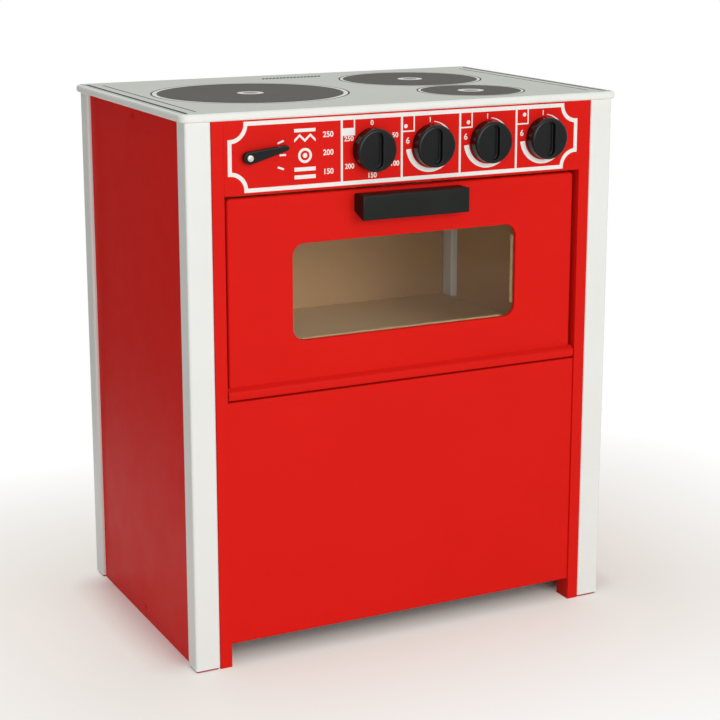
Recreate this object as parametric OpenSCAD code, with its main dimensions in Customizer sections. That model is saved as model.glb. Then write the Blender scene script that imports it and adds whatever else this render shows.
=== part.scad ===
// Toy stove of painted wood: corner posts, panels, a printed hob board and an
// oven with a drop-front door. Millimetres, +Z up, the front faces -Y.

/* [Carcass] */
// Width over the corner posts
body_w = 380; // [366:1:480]
// Depth over the corner posts
body_d = 250; // [200:1:320]
// Height of the hob surface above the floor
hob_z = 445; // [380:1:560]
// Width of a corner post, seen from the front
post_w = 21; // [18:0.5:28]
// Depth of a corner post
post_d = 18; // [16:0.5:24]
// Rounding of a post's long edges
post_r = 2; // [1:0.5:4]
// Width of the jamb strips beside the opening
jamb_w = 10; // [9:0.5:14]
// Thickness of the side panels
side_t = 12; // [9:0.5:14]
// How far the side panels lie back from the posts' outer faces
side_recess = 3; // [1:0.5:5]
// Thickness of the glide under each post
glide_t = 1.5; // [1:0.5:4]
// How far a glide lies inside its post's faces
glide_inset = 1; // [0.5:0.5:3]

/* [Hob board] */
// Thickness of the hob board
hob_t = 6.5; // [6:0.5:12]
// Overhang past the posts at each side
hob_over_side = 3.5; // [1:0.5:10]
// Overhang past the posts at the front
hob_over_front = 2.8; // [1:0.1:10]
// Overhang past the posts at the rear
hob_over_rear = 4.5; // [4.5:0.5:10]
// Corner radius of the board, seen from above
hob_corner_r = 7; // [5:0.5:20]
// Rounding of the board's edges
hob_edge_r = 2.5; // [1:0.25:2.75]

/* [Control panel] */
// Height of the control panel
control_h = 57.5; // [50:0.5:70]
// Thickness of the control panel
control_t = 9; // [6:0.5:14]
// Rounding of the panel's lower front edge
control_edge_r = 0.8; // [0.4:0.1:2]
// Distance between neighbouring knobs
knob_pitch = 52.6; // [44:0.1:58]
// Distance from the panel's right end to the last knob
knob_inset = 35.5; // [24:0.5:50]
// Height of the knobs and the lever pin above the panel's lower edge
dial_rise = 29; // [24:0.5:34]
// Distance from the panel's left end to the lever pin
lever_inset = 19; // [12:0.5:30]

/* [Knobs] */
// Diameter of a knob
knob_d = 34; // [26:0.5:40]
// Height of a knob
knob_h = 10.5; // [8.5:0.5:16]
// Rounding of the knob's front edge
knob_edge_r = 2.3; // [1:0.1:3]
// Wall of the moulded knob
knob_wall = 2; // [1.5:0.1:3]
// Width of the finger slot
slot_w = 8; // [5:0.5:10]
// Distance between the finger slot's ends and the knob's rim
slot_rim = 4.25; // [3.5:0.25:8]
// Depth of the finger slot
slot_deep = 4; // [2:0.5:5]
// Number of ribs inside a knob
rib_count = 6; // [3:1:12]
// Diameter of a knob's spindle
spindle_d = 6; // [4:0.5:8]
// Outer diameter of a push-on clip
clip_d = 12; // [10:0.5:14]
// Thickness of a push-on clip
clip_t = 1.2; // [0.8:0.1:2]
// Gap between a turning piece and the panel
knob_gap = 0.5; // [0.3:0.1:1]

/* [Lever] */
// Length of the lever from its pin to the centre of its tip
lever_l = 31; // [20:0.5:34]
// Radius of the lever round its pin
lever_hub_r = 5; // [4:0.5:7]
// Radius of the lever's tip
lever_tip_r = 2.1; // [1.5:0.1:3]
// Thickness of the lever
lever_t = 3.6; // [2:0.1:6]
// How far the lever stands off the panel
lever_off = 2.5; // [1:0.1:4]
// Angle of the lever above level, at rest
lever_rest = 11; // [-20:1:20]
// Diameter of the lever's pin
lever_pin_d = 3; // [2:0.5:4]
// Diameter of the pin's head
lever_head_d = 5.3; // [4:0.1:8]

/* [Door] */
// Height of the door board
door_h = 148.5; // [130:0.5:180]
// Thickness of the door board
door_t = 9; // [9:0.5:14]
// How far the door's face lies behind the posts' faces
door_recess = 4; // [3:0.5:5]
// Gap at each side of the door
door_gap_side = 3; // [1.5:0.5:5]
// Gap above the door
door_gap_top = 2.5; // [1.5:0.5:5]
// Corner radius of the door
door_corner_r = 3; // [2.5:0.5:8]
// Rounding of the door's front edges
door_edge_r = 1.75; // [0.5:0.25:2.25]
// Width of the window opening
window_w = 202; // [140:1:240]
// Height of the window opening
window_h = 77.5; // [50:0.5:90]
// Distance from the door's lower edge to the window opening
window_rise = 31.7; // [24:0.1:45]
// Corner radius of the window opening
window_r = 10; // [6:0.5:20]
// Thickness of the lip in front of the pane
window_lip = 3; // [2:0.5:4]
// Width of the rebate round the opening, for pane and beads
rebate_w = 6; // [4:0.5:10]
// Thickness of the pane
pane_t = 2; // [1:0.5:3]

/* [Grip] */
// Width of the grip bar
grip_w = 95.5; // [70:0.5:140]
// How far the grip bar stands out from the door's face
grip_reach = 16; // [12:0.5:24]
// Height of the grip bar at the door's face
grip_back_h = 14; // [10:0.5:20]
// Height of the grip bar at its front
grip_front_h = 20.2; // [12:0.1:28]
// Distance from the door's top edge to the top of the grip bar
grip_drop = 3; // [2:0.5:10]
// Rounding of the grip bar's edges
grip_r = 1.3; // [0.5:0.1:3]
// Distance between the grip's two screws
grip_screw_pitch = 64; // [50:1:80]

/* [Door rail] */
// Height of the rail under the door board
rail_h = 9.7; // [9:0.1:14]
// Height of the rail's flat front face above the pivot
rail_face_up = 2.5; // [1:0.1:4]
// Gap at each end of the rail
rail_gap_end = 1; // [0.5:0.5:2]
// Gap between the rail and the lower panel
rail_gap_low = 1.5; // [1:0.1:3]
// Diameter of the pivot pins
pivot_d = 4; // [3:0.5:5]
// Length of a pivot pin inside the rail
pivot_in_rail = 14; // [8:1:30]
// Length of a pivot pin inside the jamb
pivot_in_jamb = 7.5; // [4:0.5:8]

/* [Lower panel and inside] */
// Height of the toe gap under the lower panel
toe_h = 19; // [10:1:40]
// Thickness of the lower panel
lower_t = 9; // [6:0.5:14]
// How far the lower panel lies behind the posts' faces
lower_recess = 1.5; // [0:0.5:2]
// Thickness of the back panel
back_t = 3; // [2:0.5:3]
// How far the back panel's edges lie inside the posts' outer faces
back_inset = 3; // [1:0.5:6]
// Thickness of the oven floor
floor_t = 6; // [4:0.5:9]
// Distance from the door rail's lower edge to the top of the oven floor
floor_rise = 5.7; // [4:0.1:8]
// Side of the square battens
batten = 12; // [10:0.5:16]
// Width of the cross stretchers
stretcher_w = 19; // [14:0.5:30]
// Height of the cross stretchers
stretcher_h = 15; // [12:0.5:20]
// Height of the rear rails
rear_rail_h = 40; // [20:1:60]

/* [Fastenings] */
// Diameter of the dowels between posts and side panels
dowel_d = 6; // [5:0.5:7]
// Length of those dowels
dowel_l = 28; // [20:1:36]
// Diameter of the small dowels
peg_d = 5; // [4:0.5:6]
// Shank diameter of the wood screws
screw_d = 3; // [2.5:0.5:3.5]
// Head diameter of the wood screws
screw_head_d = 6; // [5:0.5:8]
// Shank diameter of the small screws and pins
pin_d = 1.6; // [1:0.2:2]
// Radial play of a dowel, screw or pin in its hole
fit = 0.05; // [0.02:0.01:0.09]

/* [Hidden] */
$fn = 64;
KNOBS = [1, 2, 3, 4];
SIDES = [-1, 1];
WHITE = "#e9e9e4";
RED = "#d8201e";
BLACK = "#24282a";
RAW = "#8c7355";
STEEL = "#b8babc";

// Carcass. Y is measured from the posts' front faces until placed() shifts it.
post_top = hob_z - hob_t;
half_w = body_w / 2;
open_half = half_w - post_w - jamb_w;
jamb_out = open_half + jamb_w;
side_out = half_w - side_recess;
side_in = side_out - side_t;
side_mid = (side_in + side_out) / 2;
rear_face = body_d - post_d;
back_y = body_d + back_t;
back_half = half_w - back_inset;
back_gap_low = 3;
back_gap_top = 2.5;

// Control panel
control_z = post_top - control_h;
dial_z = control_z + dial_rise;
lever_x = lever_inset - open_half;
clip_gap = 0.25;
spindle_tail = 2.5;
spindle_out = clip_gap + clip_t + spindle_tail;
spindle_chamfer = 0.6;
end_gap = 0.1;
slot_l = knob_d - 2 * slot_rim;
rib_t = 2 * knob_wall / 3;
rib_bite = 0.5;
lever_head_t = 1.4;
lever_head_r = 1.1;
spacer_d = 2 * lever_hub_r - 2;
small_gap = 0.2;

// Door: the rail's front face lies in the posts' plane, and turns down onto the
// lower panel's top edge, which is the door's open stop.
door_half = open_half - door_gap_side;
door_top = control_z - door_gap_top;
door_z = door_top - door_h;
door_back = door_recess + door_t;
rail_z = door_z - rail_h;
rail_half = open_half - rail_gap_end;
lower_top = rail_z - rail_gap_low;
pivot_y = 5.7;
pivot_z = lower_top + pivot_y;
rail_low_r = pivot_y - end_gap;
pivot_end_gap = 1.5;
pivot_bore_l = pivot_in_jamb + pivot_end_gap;

// Window
window_z = door_z + window_rise;
pane_front = door_recess + window_lip;
pane_play = 0.4;
bead_w = rebate_w - pane_play;
bead_t = door_back - pane_front - pane_t;
rebate_r = window_r + rebate_w;
bead_pin_bite = 8;
bead_pin_l = rebate_w + bead_pin_bite;

// Grip
grip_top = door_top - grip_drop;
grip_front = door_recess - grip_reach;
grip_screw_z = grip_top - grip_back_h / 2;
grip_screw_cover = 6;
handle_screw_l = door_t + grip_reach - grip_screw_cover;

// Inside
lower_back = lower_recess + lower_t;
floor_top = rail_z + floor_rise;
floor_low = floor_top - floor_t;
swing_gap = 0.9;
swing_r = norm([door_back - pivot_y, pivot_z - rail_z]);
// Rounded up to a tenth
floor_front = ceil(10 * (pivot_y + swing_r + swing_gap)) / 10;
stretcher_y = body_d / 2 - stretcher_w / 2;
base_z = 3;
batten_gap = 2;
top_gap = 1;
cleat_gap = 2;
cleat_rise = 6;
cleat_drop = 3;
dowel_low_z = 60;
dowel_dial_drop = 20;
dowel_zs = [dowel_low_z, lower_top, dial_z - dowel_dial_drop];
dowel_in_post = 10;
jamb_peg_rises = [40, 150];
jamb_peg_over_door = 80;
jamb_peg_in_panel = 38;
jamb_peg_zs = concat(jamb_peg_rises, [lower_top + jamb_peg_over_door, control_z + jamb_peg_in_panel]);
jamb_peg_y = post_d / 2;
jamb_peg_in = 7;
jamb_peg_l = 17;
rail_peg_xs = [for (k = [-3, -1, 1, 3]) k * rail_half / 4];
rail_peg_l = 22;
rail_peg_in = 6.5;
screw_cover = 2;
screw_from_post = 20;
screw_in_hob = 4;
screw_in_stretcher = 22;
screw_in_block = 10;
pan_head_t = 1.3;
back_screw_rises = [25, 105, 180];
back_screw_drops = [175, 105, 20];
back_screw_zs = concat(back_screw_rises, [for (drop = back_screw_drops) post_top - drop]);
back_screw_xs = [-60, 60];
back_screw_l = back_t + batten - screw_cover;
top_screw_l = batten + screw_in_hob;
floor_screw_l = floor_t + batten - screw_cover;
side_screw_l = side_t + screw_in_stretcher;

// Magnet catch, on a block behind the control panel
block_half = 40;
block_d = 24;
block_h = 14;
catch_half = 22;
catch_front = door_back + 4;
catch_d = 16;
catch_h = 14;
catch_wall = 3;
catch_r = 2;
ear_l = 10;
ear_t = 3;
ear_r = 3;
catch_screw_l = ear_t + screw_in_block;
plate_half = 16;
plate_t = 1;
plate_h = 10;
plate_r = 2;
plate_drop = 1;
plate_screw_x = 11;
plate_screw_l = door_t - plate_t;
magnet_gap = 0.2;
magnet_half = catch_half - 8;
small = 0.01;

front_y = -(body_d + hob_over_rear + grip_front) / 2;

// Centre of a knob across the panel, counted from the left
function knob_x(n) = open_half - knob_inset - (len(KNOBS) - n) * knob_pitch;

// ---- Shared forms ----

// Moves a piece from the posts' front plane to the part's own origin
module placed() {
    translate([0, front_y, 0]) children();
}

// Section drawn in Y and Z, run along X
module along_x(x0, x1) {
    translate([x0, 0, 0]) rotate([90, 0, 90]) linear_extrude(x1 - x0) children();
}

// Section drawn in X and Z, run along Y
module along_y(y0, y1) {
    translate([0, y1, 0]) rotate([90, 0, 0]) linear_extrude(y1 - y0) children();
}

// Plain block between two corners
module block(lo, hi) {
    translate(lo) cube(hi - lo);
}

// Round bar along X or Y, and the hole for one
module bar_x(x0, x1, y, z, r) {
    translate([x0, y, z]) rotate([0, 90, 0]) cylinder(h = x1 - x0, r = r);
}

module bar_y(y0, y1, x, z, r) {
    translate([x, y1, z]) rotate([90, 0, 0]) cylinder(h = y1 - y0, r = r);
}

// Rectangle with rounded corners
module soft_rect(lo, hi, r) {
    translate([lo.x + r, lo.y]) square([hi.x - lo.x - 2 * r, hi.y - lo.y]);
    translate([lo.x, lo.y + r]) square([hi.x - lo.x, hi.y - lo.y - 2 * r]);
    for (x = [lo.x + r, hi.x - r], y = [lo.y + r, hi.y - r])
        translate([x, y]) circle(r);
}

// Section through a board: its top edges rounded by top, its lower ones by low
module board_section(a, b, t, top, low) {
    translate([a + top, 0]) square([b - a - 2 * top, t]);
    translate([a, low]) square([b - a, t - top - low]);
    for (x = [a + top, b - top]) translate([x, t - top]) circle(top);
    if (low > 0)
        for (x = [a + low, b - low]) translate([x, low]) circle(low);
}

// Half of such a section, for the turned corner of a board
module corner_section(corner, t, top, low) {
    square([corner - top, t]);
    translate([0, low]) square([corner, t - top - low]);
    intersection() {
        translate([corner - top, t - top]) circle(top);
        translate([corner - top, t - top]) square(top);
    }
    if (low > 0)
        intersection() {
            translate([corner - low, low]) circle(low);
            translate([corner - low, 0]) square(low);
        }
}

// Board lying in X and Y with rounded corners and rolled edges
module rolled_board(lo, hi, t, corner, top, low = 0) {
    along_x(lo.x + corner, hi.x - corner) board_section(lo.y, hi.y, t, top, low);
    along_y(lo.y + corner, hi.y - corner) board_section(lo.x, hi.x, t, top, low);
    for (x = [lo.x + corner, hi.x - corner], y = [lo.y + corner, hi.y - corner])
        translate([x, y, 0]) rotate_extrude() corner_section(corner, t, top, low);
}

// Countersunk screw: point towards +Z, head's face at the origin
module csk_screw(l, d, head_d) {
    rise = (head_d - d) / 2;
    cylinder(h = rise, d1 = head_d, d2 = d);
    cylinder(h = l - d, d = d);
    translate([0, 0, l - d]) cylinder(h = d, d1 = d, d2 = d / 4);
}

// The hole that a countersunk screw seats in
module csk_hole(l, d, head_d) {
    rise = (head_d - d) / 2;
    translate([0, 0, -small]) cylinder(h = rise + small, d1 = head_d + 2 * fit, d2 = d + 2 * fit);
    cylinder(h = l + fit, d = d + 2 * fit);
}

// Round-headed screw: point towards +Z, underside of the head at the origin
module pan_screw(l, d, head_d, head_t) {
    translate([0, 0, -head_t]) rotate_extrude() {
        square([head_d / 2 - head_t / 2, head_t]);
        translate([0, head_t / 2]) square([head_d / 2, head_t / 2]);
        translate([head_d / 2 - head_t / 2, head_t / 2]) circle(head_t / 2);
    }
    cylinder(h = l - d, d = d);
    translate([0, 0, l - d]) cylinder(h = d, d1 = d, d2 = d / 4);
}

// Plain hole along +Z for a shank
module shank_hole(l, d) {
    translate([0, 0, -small]) cylinder(h = l + fit + small, d = d + 2 * fit);
}

// Dowel with chamfered ends, standing along +Z
module dowel(l, d) {
    chamfer = d / 8;
    cylinder(h = chamfer, d1 = d - 2 * chamfer, d2 = d);
    translate([0, 0, chamfer]) cylinder(h = l - 2 * chamfer, d = d);
    translate([0, 0, l - chamfer]) cylinder(h = chamfer, d1 = d, d2 = d - 2 * chamfer);
}

// Push-on clip: a thin dished ring, standing along +Z
module push_clip(bore_d, outer_d, t) {
    difference() {
        union() {
            cylinder(h = t / 2, d = outer_d);
            cylinder(h = t, d = (outer_d + bore_d) / 2);
        }
        translate([0, 0, -small]) cylinder(h = t + 2 * small, d = bore_d + 2 * fit);
    }
}

// ---- Where the fastenings sit, shared by each piece and its holes ----

// Dowels of one side, in its post (front or rear) and its panel
module side_dowel_places(s, rear) {
    edge = rear ? rear_face : post_d;
    way = rear ? 1 : -1;
    for (z = dowel_zs)
        translate([s * side_mid, edge + way * dowel_in_post, z]) rotate([way * 90, 0, 0]) children();
}

// Pegs between a jamb and its front post
module jamb_peg_places(s) {
    for (z = jamb_peg_zs)
        translate([s * (jamb_out - jamb_peg_in), jamb_peg_y, z]) rotate([0, s * 90, 0]) children();
}

// Screws through the back panel into the rear posts and rails
module back_screw_places() {
    for (x = [-half_w + post_w / 2, half_w - post_w / 2], z = back_screw_zs)
        translate([x, back_y, z]) rotate([90, 0, 0]) children();
    for (x = back_screw_xs, z = [toe_h + rear_rail_h / 2, post_top - rear_rail_h / 4])
        translate([x, back_y, z]) rotate([90, 0, 0]) children();
}

// Screws through the side panels into the ends of the stretchers
module side_screw_places() {
    for (s = SIDES, z = [base_z + stretcher_h / 2, post_top - stretcher_h / 2])
        translate([s * side_out, body_d / 2, z]) rotate([0, -s * 90, 0]) children();
}

// Screws up through the top battens into the hob board
module top_screw_places() {
    low = post_top - batten;
    for (s = SIDES, y = [post_d + screw_from_post, rear_face - screw_from_post])
        translate([s * (side_in - batten / 2), y, low]) children();
    for (x = [-open_half / 2, open_half / 2])
        translate([x, control_t + batten / 2, low]) children();
}

// Screws down through the oven floor into its battens
module floor_screw_places() {
    for (s = SIDES, y = [post_d + screw_from_post, body_d / 2, rear_face - screw_from_post])
        translate([s * (side_in - batten / 2), y, floor_top]) rotate([180, 0, 0]) children();
    for (x = [-open_half / 2, open_half / 2])
        translate([x, (floor_front + lower_back + batten) / 2, floor_top]) rotate([180, 0, 0]) children();
}

// Screws from behind the door into the grip
module handle_screw_places() {
    for (x = [-grip_screw_pitch / 2, grip_screw_pitch / 2])
        translate([x, door_back, grip_screw_z]) rotate([90, 0, 0]) children();
}

// Screws through the strike plate into the door
module plate_screw_places() {
    for (x = [-plate_screw_x, plate_screw_x])
        translate([x, door_back + plate_t, door_top - plate_drop - plate_h / 2])
            rotate([90, 0, 0]) children();
}

// Screws up through the catch's ears into its block
module catch_screw_places() {
    for (s = SIDES)
        translate([s * (catch_half + ear_l / 2), catch_front + catch_d / 2, control_z - ear_t]) children();
}

// Pins through the beads into the walls of the rebate
module bead_pin_places() {
    y = door_back - bead_t / 2;
    for (x = [-window_w / 3, window_w / 3]) {
        translate([x, y, window_z + window_h]) children();
        translate([x, y, window_z]) rotate([180, 0, 0]) children();
    }
    for (s = SIDES)
        translate([s * window_w / 2, y, window_z + window_h / 2]) rotate([0, s * 90, 0]) children();
}

// Pegs between the rail and the door board
module rail_peg_places() {
    for (x = rail_peg_xs)
        translate([x, door_recess + door_t / 2, door_z - rail_peg_in]) children();
}

// ---- Carcass ----

module post(s, y0) {
    x0 = s < 0 ? -half_w : half_w - post_w;
    translate([0, 0, glide_t]) linear_extrude(post_top - glide_t)
        soft_rect([x0, y0], [x0 + post_w, y0 + post_d], post_r);
}

module front_post(s) {
    color(WHITE) placed() difference() {
        post(s, 0);
        side_dowel_places(s, false) shank_hole(dowel_l, dowel_d);
        jamb_peg_places(s) shank_hole(jamb_peg_l, peg_d);
    }
}

module rear_post(s) {
    color(WHITE) placed() difference() {
        post(s, rear_face);
        side_dowel_places(s, true) shank_hole(dowel_l, dowel_d);
        back_screw_places() shank_hole(back_screw_l, screw_d);
    }
}

module post_front_left() {
    front_post(-1);
}

module post_front_right() {
    front_post(1);
}

module post_rear_left() {
    rear_post(-1);
}

module post_rear_right() {
    rear_post(1);
}

module foot_glides() {
    color("#7c1512") placed()
        for (s = SIDES, y0 = [0, rear_face]) {
            x0 = s < 0 ? -half_w : half_w - post_w;
            linear_extrude(glide_t)
                soft_rect([x0 + glide_inset, y0 + glide_inset],
                          [x0 + post_w - glide_inset, y0 + post_d - glide_inset], post_r);
        }
}

module side_panel(s) {
    x0 = s < 0 ? -side_out : side_in;
    color(RED) placed() difference() {
        block([x0, post_d, 0], [x0 + side_t, rear_face, post_top]);
        side_dowel_places(s, false) shank_hole(dowel_l, dowel_d);
        side_dowel_places(s, true) shank_hole(dowel_l, dowel_d);
        side_screw_places() csk_hole(side_screw_l, screw_d, screw_head_d);
    }
}

module side_panel_left() {
    side_panel(-1);
}

module side_panel_right() {
    side_panel(1);
}

module jamb(s) {
    x0 = s < 0 ? -jamb_out : open_half;
    color(RED) placed() difference() {
        block([x0, 0, 0], [x0 + jamb_w, post_d, post_top]);
        jamb_peg_places(s) shank_hole(jamb_peg_l, peg_d);
        bar_x(s < 0 ? -open_half - pivot_bore_l : open_half - small,
              s < 0 ? -open_half + small : open_half + pivot_bore_l,
              pivot_y, pivot_z, pivot_d / 2 + fit);
    }
}

module jamb_left() {
    jamb(-1);
}

module jamb_right() {
    jamb(1);
}

module countertop() {
    color("#d8dcd4") placed() difference() {
        translate([0, 0, post_top])
            rolled_board([-half_w - hob_over_side, -hob_over_front],
                         [half_w + hob_over_side, body_d + hob_over_rear],
                         hob_t, hob_corner_r, hob_edge_r, hob_edge_r);
        top_screw_places() shank_hole(top_screw_l, screw_d);
    }
}

module control_panel() {
    color(RED) placed() difference() {
        along_x(-open_half, open_half) {
            translate([0, control_z + control_edge_r]) square([control_t, control_h - control_edge_r]);
            translate([control_edge_r, control_z]) square([control_t - control_edge_r, control_edge_r]);
            translate([control_edge_r, control_z + control_edge_r]) circle(control_edge_r);
        }
        for (n = KNOBS)
            bar_y(-1, control_t + 1, knob_x(n), dial_z, spindle_d / 2 + fit);
        bar_y(-1, control_t + 1, lever_x, dial_z, lever_pin_d / 2 + fit);
    }
}

module lower_panel() {
    color(RED) placed()
        block([-open_half, lower_recess, toe_h], [open_half, lower_back, lower_top]);
}

module back_panel() {
    color(RAW) placed() difference() {
        block([-back_half, body_d, back_gap_low], [back_half, back_y, post_top - back_gap_top]);
        back_screw_places() shank_hole(back_screw_l, screw_d);
    }
}

// ---- Inside ----

module oven_floor() {
    color(RAW) placed() difference() {
        translate([0, 0, floor_low]) linear_extrude(floor_t) difference() {
            translate([-side_in, floor_front]) square([2 * side_in, body_d - floor_front]);
            for (s = SIDES) {
                translate([s * half_w - (half_w - open_half), 0])
                    square([2 * (half_w - open_half), post_d]);
                translate([s * half_w - post_w, rear_face]) square([2 * post_w, post_d + 1]);
            }
        }
        floor_screw_places() csk_hole(floor_screw_l, screw_d, screw_head_d);
    }
}

module floor_battens() {
    low = floor_low - batten;
    color(RAW) placed() difference() {
        union() {
            for (s = SIDES)
                translate([s < 0 ? -side_in : side_in - batten, post_d + batten_gap, low])
                    cube([batten, rear_face - post_d - 2 * batten_gap, batten]);
            block([-open_half + batten_gap, lower_back, low],
                  [open_half - batten_gap, lower_back + batten, floor_low]);
        }
        floor_screw_places() shank_hole(floor_screw_l, screw_d);
    }
}

module top_battens() {
    low = post_top - batten;
    half_run = stretcher_y - post_d - 2 * top_gap;
    color(RAW) placed() difference() {
        union() {
            for (s = SIDES, y0 = [post_d + top_gap, stretcher_y + stretcher_w + top_gap])
                translate([s < 0 ? -side_in : side_in - batten, y0, low])
                    cube([batten, half_run, batten]);
            block([-open_half + batten_gap, control_t, low],
                  [open_half - batten_gap, control_t + batten, post_top]);
        }
        top_screw_places() shank_hole(top_screw_l, screw_d);
    }
}

module stretcher(z0) {
    color(RAW) placed() difference() {
        block([-side_in, stretcher_y, z0], [side_in, stretcher_y + stretcher_w, z0 + stretcher_h]);
        side_screw_places() shank_hole(side_screw_l, screw_d);
    }
}

module top_stretcher() {
    stretcher(post_top - stretcher_h);
}

module base_stretcher() {
    stretcher(base_z);
}

module rear_rail(z0, h) {
    color(RAW) placed() difference() {
        block([-jamb_out, body_d - batten, z0], [jamb_out, body_d, z0 + h]);
        back_screw_places() shank_hole(back_screw_l, screw_d);
    }
}

module rear_rail_top() {
    rear_rail(post_top - rear_rail_h / 2, rear_rail_h / 2);
}

module rear_rail_bottom() {
    rear_rail(toe_h, rear_rail_h);
}

module cleats(y0, z0, z1) {
    color(RAW) placed()
        for (s = SIDES)
            translate([s < 0 ? -open_half : open_half - batten, y0, z0])
                cube([batten, post_d - y0, z1 - z0]);
}

module lower_cleats() {
    cleats(lower_back, toe_h + cleat_rise, floor_low - batten - cleat_drop);
}

module control_cleats() {
    cleats(control_t, control_z + cleat_gap, post_top - batten - cleat_gap);
}

module side_dowels() {
    color(RAW) placed()
        for (s = SIDES, rear = [false, true])
            side_dowel_places(s, rear) dowel(dowel_l, dowel_d);
}

module jamb_dowels() {
    color(RAW) placed()
        for (s = SIDES)
            jamb_peg_places(s) dowel(jamb_peg_l, peg_d);
}

module top_screws() {
    color(STEEL) placed()
        top_screw_places() pan_screw(top_screw_l, screw_d, screw_head_d, pan_head_t);
}

module back_screws() {
    color(STEEL) placed()
        back_screw_places() pan_screw(back_screw_l, screw_d, screw_head_d, pan_head_t);
}

module floor_screws() {
    color(STEEL) placed()
        floor_screw_places() csk_screw(floor_screw_l, screw_d, screw_head_d);
}

module side_screws() {
    color(STEEL) placed()
        side_screw_places() csk_screw(side_screw_l, screw_d, screw_head_d);
}

// ---- Magnet catch ----

module catch_block() {
    color(RAW) placed() difference() {
        block([-block_half, control_t, control_z],
              [block_half, control_t + block_d, control_z + block_h]);
        catch_screw_places() shank_hole(catch_screw_l, screw_d);
    }
}

module catch_body() {
    top = control_z;
    color(WHITE) placed() difference() {
        union() {
            translate([0, 0, top - catch_h]) linear_extrude(catch_h)
                soft_rect([-catch_half, catch_front], [catch_half, catch_front + catch_d], catch_r);
            translate([0, 0, top - ear_t]) linear_extrude(ear_t)
                soft_rect([-catch_half - ear_l, catch_front + catch_wall],
                          [catch_half + ear_l, catch_front + catch_d - catch_wall], ear_r);
        }
        block([-magnet_half - magnet_gap, catch_front - 1, top - catch_h + catch_wall - magnet_gap],
              [magnet_half + magnet_gap, catch_front + catch_d - catch_wall, top - catch_wall + magnet_gap]);
        catch_screw_places() shank_hole(catch_screw_l, screw_d);
    }
}

module catch_magnet() {
    color(STEEL) placed()
        block([-magnet_half, door_back + plate_t + magnet_gap, control_z - catch_h + catch_wall],
              [magnet_half, catch_front + catch_d - catch_wall, control_z - catch_wall]);
}

module catch_screws() {
    color(STEEL) placed()
        catch_screw_places() pan_screw(catch_screw_l, screw_d, screw_head_d, pan_head_t);
}

// ---- Door ----

module door_board() {
    window_x = window_w / 2;
    color(RED) placed() difference() {
        translate([0, door_back, 0]) rotate([90, 0, 0])
            rolled_board([-door_half, door_z], [door_half, door_top], door_t, door_corner_r, door_edge_r);
        along_y(door_recess - 1, door_back + 1)
            soft_rect([-window_x, window_z], [window_x, window_z + window_h], window_r);
        along_y(pane_front, door_back + 1)
            soft_rect([-window_x - rebate_w, window_z - rebate_w],
                      [window_x + rebate_w, window_z + window_h + rebate_w], rebate_r);
        handle_screw_places() shank_hole(handle_screw_l, screw_d);
        plate_screw_places() shank_hole(plate_screw_l, pin_d);
        bead_pin_places() shank_hole(bead_pin_l, pin_d);
        rail_peg_places() shank_hole(rail_peg_l, peg_d);
    }
}

// The rail's section in Y and Z. Its lower front corner is an arc about the
// pivot, so it turns clear of the lower panel.
module rail_section() {
    intersection() {
        polygon([
            [0, rail_z], [0, pivot_z + rail_face_up], [door_recess, door_z],
            [door_back, door_z], [door_back, rail_z]
        ]);
        union() {
            translate([pivot_y, pivot_z]) circle(rail_low_r);
            translate([pivot_y, rail_z]) square([door_back, rail_h]);
            translate([0, pivot_z]) square([door_back, rail_h]);
        }
    }
}

module door_rail() {
    color(RED) placed() difference() {
        along_x(-rail_half, rail_half) rail_section();
        rail_peg_places() shank_hole(rail_peg_l, peg_d);
        for (s = SIDES)
            bar_x(s < 0 ? -rail_half - 1 : rail_half - pivot_in_rail - fit,
                  s < 0 ? -rail_half + pivot_in_rail + fit : rail_half + 1,
                  pivot_y, pivot_z, pivot_d / 2 + fit);
    }
}

module window_pane() {
    color([0.85, 0.9, 0.9, 0.35]) placed()
        along_y(pane_front, pane_front + pane_t)
            soft_rect([-window_w / 2 - bead_w, window_z - bead_w],
                      [window_w / 2 + bead_w, window_z + window_h + bead_w], rebate_r - pane_play);
}

// Four beads behind the pane, between the rebate's rounded corners
module pane_beads() {
    y0 = pane_front + pane_t;
    half_x = window_w / 2 + rebate_w - rebate_r;
    z0 = window_z - rebate_w + rebate_r;
    z1 = window_z + window_h + rebate_w - rebate_r;
    color(RAW) placed() difference() {
        union() {
            for (z = [window_z - bead_w, window_z + window_h])
                block([-half_x, y0, z], [half_x, y0 + bead_t, z + bead_w]);
            for (x = [-window_w / 2 - bead_w, window_w / 2])
                block([x, y0, z0], [x + bead_w, y0 + bead_t, z1]);
        }
        bead_pin_places() shank_hole(bead_pin_l, pin_d);
    }
}

module bead_pins() {
    color(STEEL) placed()
        bead_pin_places() {
            cylinder(h = bead_pin_l - pin_d, d = pin_d);
            translate([0, 0, bead_pin_l - pin_d]) cylinder(h = pin_d, d1 = pin_d, d2 = pin_d / 4);
        }
}

module door_handle() {
    color(BLACK) placed() difference() {
        intersection() {
            along_x(-grip_w / 2, grip_w / 2) hull() {
                translate([grip_front + grip_r, grip_top - grip_r]) circle(grip_r, $fn = 32);
                translate([grip_front + grip_r, grip_top - grip_front_h + grip_r]) circle(grip_r, $fn = 32);
                translate([door_recess - small, grip_top - grip_back_h]) square([small, grip_back_h]);
            }
            translate([0, 0, grip_top - grip_front_h - 1]) linear_extrude(grip_front_h + 2)
                soft_rect([-grip_w / 2, grip_front], [grip_w / 2, door_recess + 3 * grip_r], grip_r);
        }
        handle_screw_places() shank_hole(handle_screw_l, screw_d);
    }
}

module handle_screws() {
    color(STEEL) placed()
        handle_screw_places() pan_screw(handle_screw_l, screw_d, screw_head_d, pan_head_t);
}

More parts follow.
